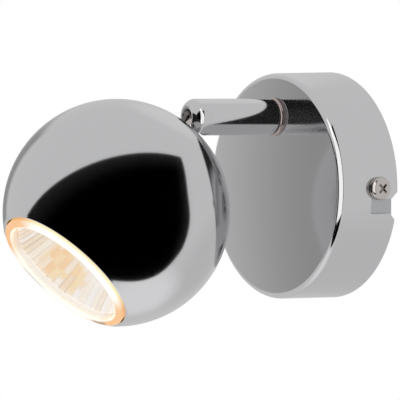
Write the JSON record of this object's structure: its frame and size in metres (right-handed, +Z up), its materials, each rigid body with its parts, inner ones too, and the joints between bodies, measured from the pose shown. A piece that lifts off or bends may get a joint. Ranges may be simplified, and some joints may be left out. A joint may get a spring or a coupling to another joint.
{
  "type": "pivoting spotlight wall light",
  "caption": "Wall spotlight: a ball shade with a reflector lamp tilts on a hollow stem at the end of a short arm, which swivels in a round twist-on wall plate.",
  "frame": {"origin": "middle of the mounting bracket's rear face, which lies on the wall, midway between the two wall screws", "axes": "+Z up, +Y into the wall, so the light stands out towards -Y; +X to the right of someone who faces the wall"},
  "size_m": [0.0852, 0.1273, 0.0863],
  "materials": {
    "chrome": "polished",
    "screw_nickel": "polished nickel",
    "zinc_steel": "zinc plated",
    "brass": "satin",
    "terminal_plastic": "moulded",
    "bush_plastic": "moulded",
    "sleeve_rubber": "matt",
    "holder_ceramic": "unglazed",
    "lamp_ceramic": "unglazed",
    "reflector_glass": "mirror-coated pressed glass",
    "front_glass": "clear",
    "burner_glass": "clear",
    "tungsten": "glowing",
    "lead_covering": "moulded",
    "earth_covering": "moulded"
  },
  "bodies": {
    "plate": {"wall_plate": "chrome", "stop_pin": "zinc_steel", "mounting_bracket": "zinc_steel", "side_screws": "screw_nickel", "terminal_housing": "terminal_plastic", "terminal_inserts": "brass", "terminal_screws": "zinc_steel", "terminal_fixing_screw": "zinc_steel", "earth_washer": "brass", "earth_screw": "brass", "swivel_bush": "bush_plastic", "canopy_leads": "lead_covering", "earth_lead": "earth_covering"},
    "arm": {"nipple": "brass", "disc_spring": "zinc_steel", "stop_washer": "zinc_steel", "lock_nut": "zinc_steel", "lead_sleeve": "sleeve_rubber", "arm_tube": "chrome", "pivot_pins": "chrome", "arm_leads": "lead_covering"},
    "head": {"knuckle_stem": "screw_nickel", "ball_shade": "chrome", "seat_washer": "zinc_steel", "holder_bracket": "zinc_steel", "toothed_washer": "zinc_steel", "stem_nut": "zinc_steel", "lampholder": "holder_ceramic", "holder_cover": "holder_ceramic", "holder_screws": "zinc_steel", "holder_contacts": "brass", "lamp_reflector": "reflector_glass", "lamp_front_glass": "front_glass", "lamp_base": "lamp_ceramic", "lamp_pins": "zinc_steel", "lamp_burner": "burner_glass", "lamp_filament": "tungsten", "lamp_leads": "lead_covering"}
  },
  "joints": [
    {"name": "arm_swivel", "type": "hinge", "parent": "plate", "child": "arm", "pos_m": [0, -0.0242, 0.0243], "axis": [0, 1, 0], "range_deg": [-160, 160]},
    {"name": "head_tilt", "type": "hinge", "parent": "arm", "child": "head", "pos_m": [0, -0.0551, 0.0243], "axis": [1, 0, 0], "range_deg": [-43.6, 34.4]}
  ]
}
